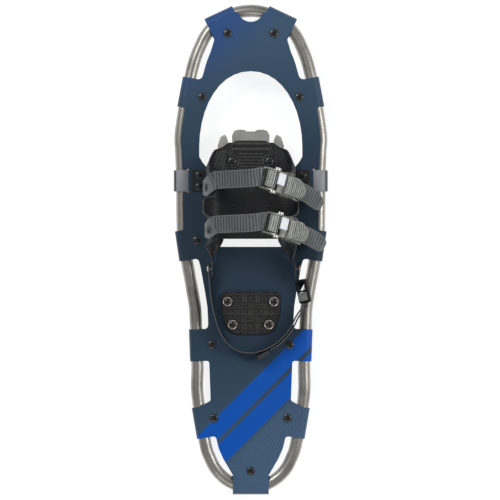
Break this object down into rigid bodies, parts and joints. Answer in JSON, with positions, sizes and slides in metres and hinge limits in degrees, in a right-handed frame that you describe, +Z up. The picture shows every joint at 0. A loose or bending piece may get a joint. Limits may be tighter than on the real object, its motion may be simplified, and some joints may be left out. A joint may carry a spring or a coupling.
{
  "type": "snowshoe",
  "caption": "Tubular-frame snowshoe with a wrapped sheet deck, crampons, and a pivoting boot binding with two ratchet straps and a heel strap.",
  "frame": {"origin": "middle of the shoe's length and width, on the surface that its crampon teeth stand on", "axes": "+Y towards the toe along the shoe, +Z up, +X to the wearer's right, the side of the ratchet buckles"},
  "size_m": [0.1992, 0.6323, 0.122],
  "materials": {
    "aluminium": "satin anodised tube",
    "deck_sheet": "slate blue coated sheet with bright blue bands",
    "steel": "satin plated steel",
    "black_rivet": "gloss black",
    "strap_grey": "satin grey band",
    "black_plastic": "satin black",
    "harness_grey": "soft dark grey",
    "pad_rubber": "matt ribbed black",
    "ladder_grey": "satin grey with cross ribs",
    "buckle_clear": "smoky translucent grey",
    "webbing": "woven black webbing",
    "cam_grey": "grey moulded"
  },
  "bodies": {
    "frame": {"deck": "deck_sheet", "deck_rivet_lower_left": "black_rivet", "deck_rivet_lower_right": "black_rivet", "deck_rivet_middle_left": "black_rivet", "deck_rivet_middle_right": "black_rivet", "deck_rivet_rear_left": "black_rivet", "deck_rivet_rear_right": "black_rivet", "deck_rivet_tail": "black_rivet", "deck_rivet_toe_left": "black_rivet", "deck_rivet_toe_right": "black_rivet", "deck_rivet_upper_left": "black_rivet", "deck_rivet_upper_right": "black_rivet", "frame_sleeve": "aluminium", "frame_tube": "aluminium", "heel_crampon": "steel", "heel_pad": "pad_rubber", "heel_pad_rivet_front_left": "black_rivet", "heel_pad_rivet_front_right": "black_rivet", "heel_pad_rivet_rear_left": "black_rivet", "heel_pad_rivet_rear_right": "black_rivet", "pivot_plate_left": "black_plastic", "pivot_plate_right": "black_plastic", "pivot_strap_left": "strap_grey", "pivot_strap_right": "strap_grey", "plate_rivet_left_front": "black_rivet", "plate_rivet_left_rear": "black_rivet", "plate_rivet_right_front": "black_rivet", "plate_rivet_right_rear": "black_rivet"},
    "binding": {"base_plate": "black_plastic", "binding_rivet_front_left": "black_rivet", "binding_rivet_front_right": "black_rivet", "binding_rivet_rear_left": "black_rivet", "binding_rivet_rear_right": "black_rivet", "front_buckle_base": "buckle_clear", "front_buckle_rivet": "black_rivet", "front_ladder_strap": "ladder_grey", "front_lever_pin": "steel", "front_release_pin": "steel", "front_strap_rivet": "black_rivet", "harness": "harness_grey", "heel_rivet_left": "black_rivet", "heel_rivet_right": "black_rivet", "pivot_strap_centre": "strap_grey", "rear_buckle_base": "buckle_clear", "rear_buckle_rivet": "black_rivet", "rear_ladder_strap": "ladder_grey", "rear_lever_pin": "steel", "rear_release_pin": "steel", "rear_strap_rivet": "black_rivet", "toe_crampon": "steel", "toe_pad": "pad_rubber"},
    "heel_loop": {"heel_buckle_frame": "black_plastic", "heel_strap": "webbing", "heel_strap_tab": "webbing"},
    "heel_cam": {"heel_buckle_cam": "cam_grey"},
    "front_lever": {"front_buckle_lever": "buckle_clear"},
    "front_release": {"front_buckle_release": "buckle_clear"},
    "rear_lever": {"rear_buckle_lever": "buckle_clear"},
    "rear_release": {"rear_buckle_release": "buckle_clear"}
  },
  "joints": [
    {"name": "binding_pivot", "type": "hinge", "parent": "frame", "child": "binding", "pos_m": [0, 0.0887, 0.0374], "axis": [-1, 0, 0], "range_deg": [0, 26], "stiffness_Nm_per_rad": 0.8},
    {"name": "front_lever_hinge", "type": "hinge", "parent": "binding", "child": "front_lever", "pos_m": [0.04428, 0.08192, 0.09972], "axis": [-0.2424, -0.9563, 0.1635], "range_deg": [0, 70], "stiffness_Nm_per_rad": 0.02},
    {"name": "front_release_hinge", "type": "hinge", "parent": "binding", "child": "front_release", "pos_m": [0.02921, 0.08748, 0.10988], "axis": [0.2424, 0.9563, -0.1635], "range_deg": [0, 18], "stiffness_Nm_per_rad": 0.02},
    {"name": "rear_lever_hinge", "type": "hinge", "parent": "binding", "child": "rear_lever", "pos_m": [0.04779, 0.0262, 0.09734], "axis": [-0.2216, -0.9636, 0.1494], "range_deg": [0, 70], "stiffness_Nm_per_rad": 0.02},
    {"name": "rear_release_hinge", "type": "hinge", "parent": "binding", "child": "rear_release", "pos_m": [0.03261, 0.03128, 0.10758], "axis": [0.2216, 0.9636, -0.1494], "range_deg": [0, 18], "stiffness_Nm_per_rad": 0.02},
    {"name": "heel_strap_swing", "type": "hinge", "parent": "binding", "child": "heel_loop", "pos_m": [0, -0.0247, 0.0518], "axis": [-1, 0, 0], "range_deg": [0, 65]},
    {"name": "heel_cam_hinge", "type": "hinge", "parent": "heel_loop", "child": "heel_cam", "pos_m": [0.06767, -0.05694, 0.05155], "axis": [-0.6017, -0.1304, -0.788], "range_deg": [0, 55], "stiffness_Nm_per_rad": 0.01}
  ]
}
